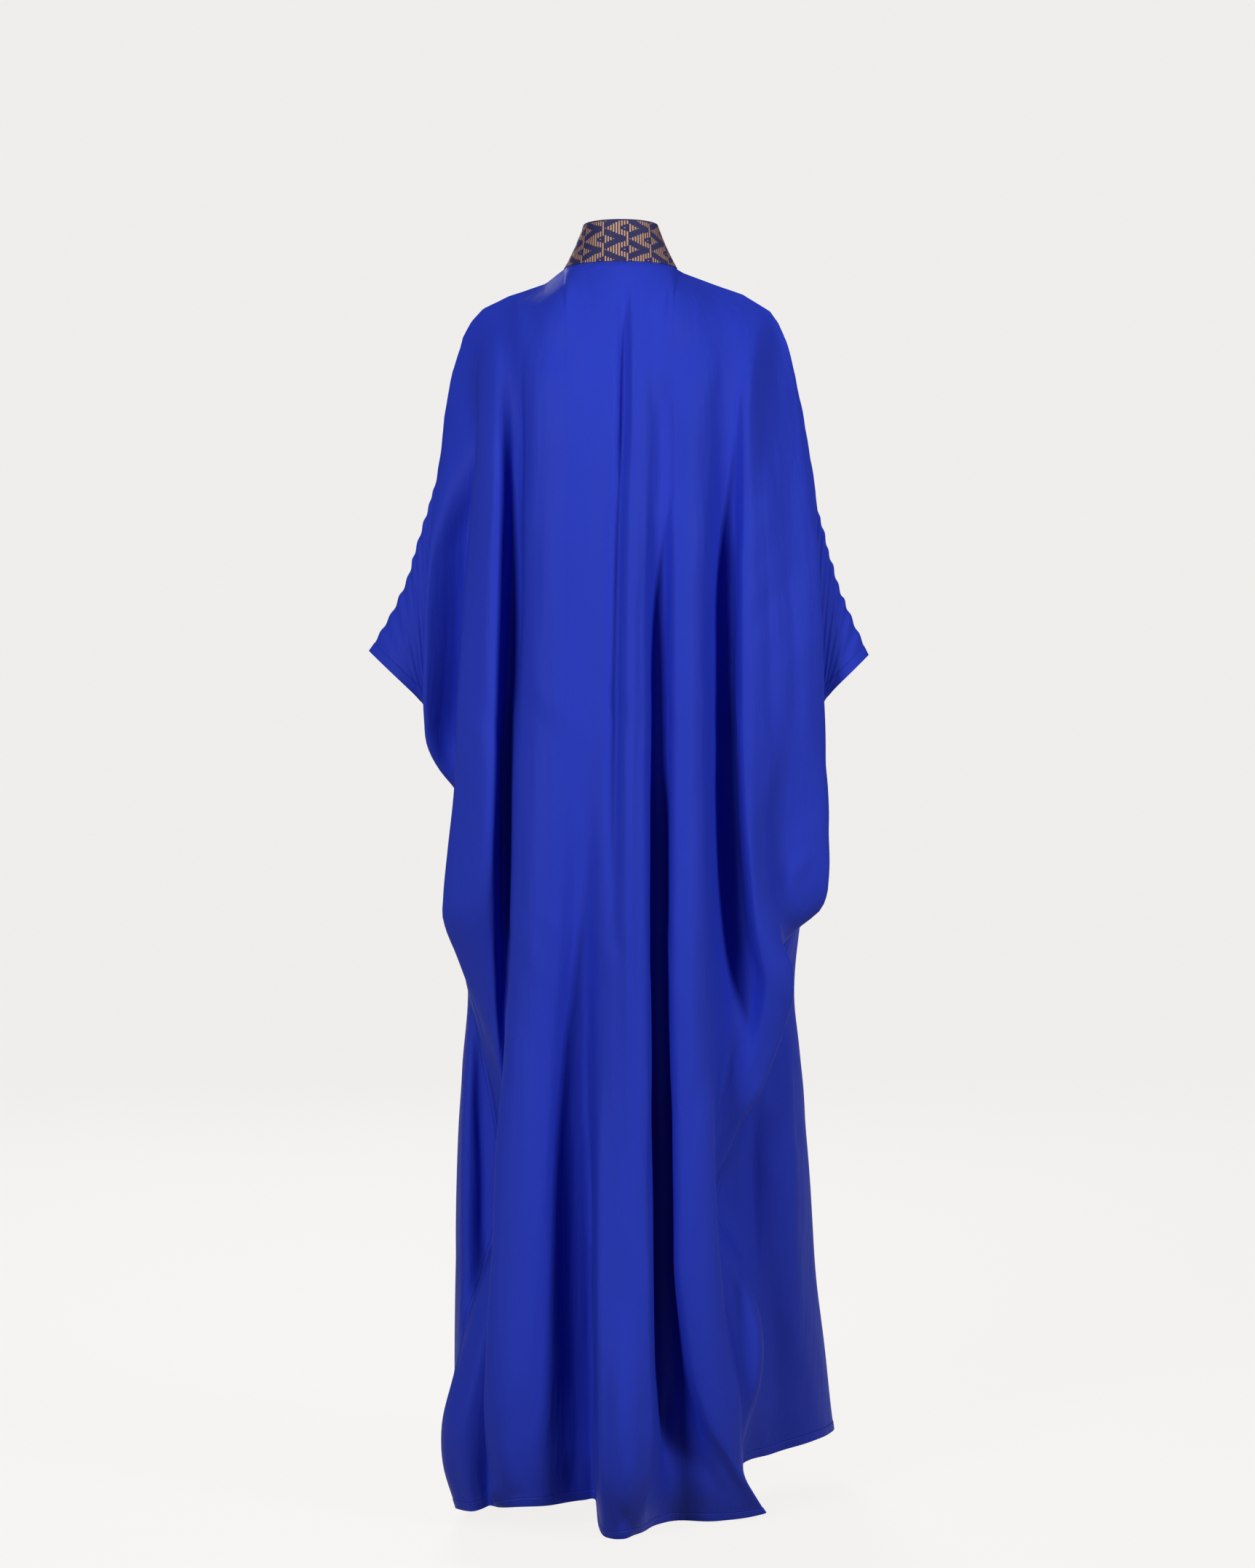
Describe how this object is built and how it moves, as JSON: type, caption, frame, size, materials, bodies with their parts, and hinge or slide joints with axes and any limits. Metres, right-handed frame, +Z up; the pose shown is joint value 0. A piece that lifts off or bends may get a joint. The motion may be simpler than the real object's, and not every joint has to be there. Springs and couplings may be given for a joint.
{
  "type": "grand boubou robe",
  "caption": "Floor-length wide robe in plain blue crepe with draped side wings, gathered short sleeves and a patterned stand collar, kept in its hollow worn form.",
  "frame": {"origin": "middle of the neck base at shoulder level, where the wearer holds the robe up", "axes": "+Z up, +Y towards the wearer's back, +X towards the wearer's left"},
  "size_m": [0.6242, 0.4396, 1.5974],
  "materials": {
    "blue_crepe": "matt satin-backed crepe, royal blue",
    "collar_weave": "navy weave with a raised bronze geometric pattern"
  },
  "bodies": {
    "root": {"back_panel": "blue_crepe", "front_panel": "blue_crepe", "sleeve_left": "blue_crepe", "sleeve_right": "blue_crepe", "collar": "collar_weave"}
  },
  "joints": []
}
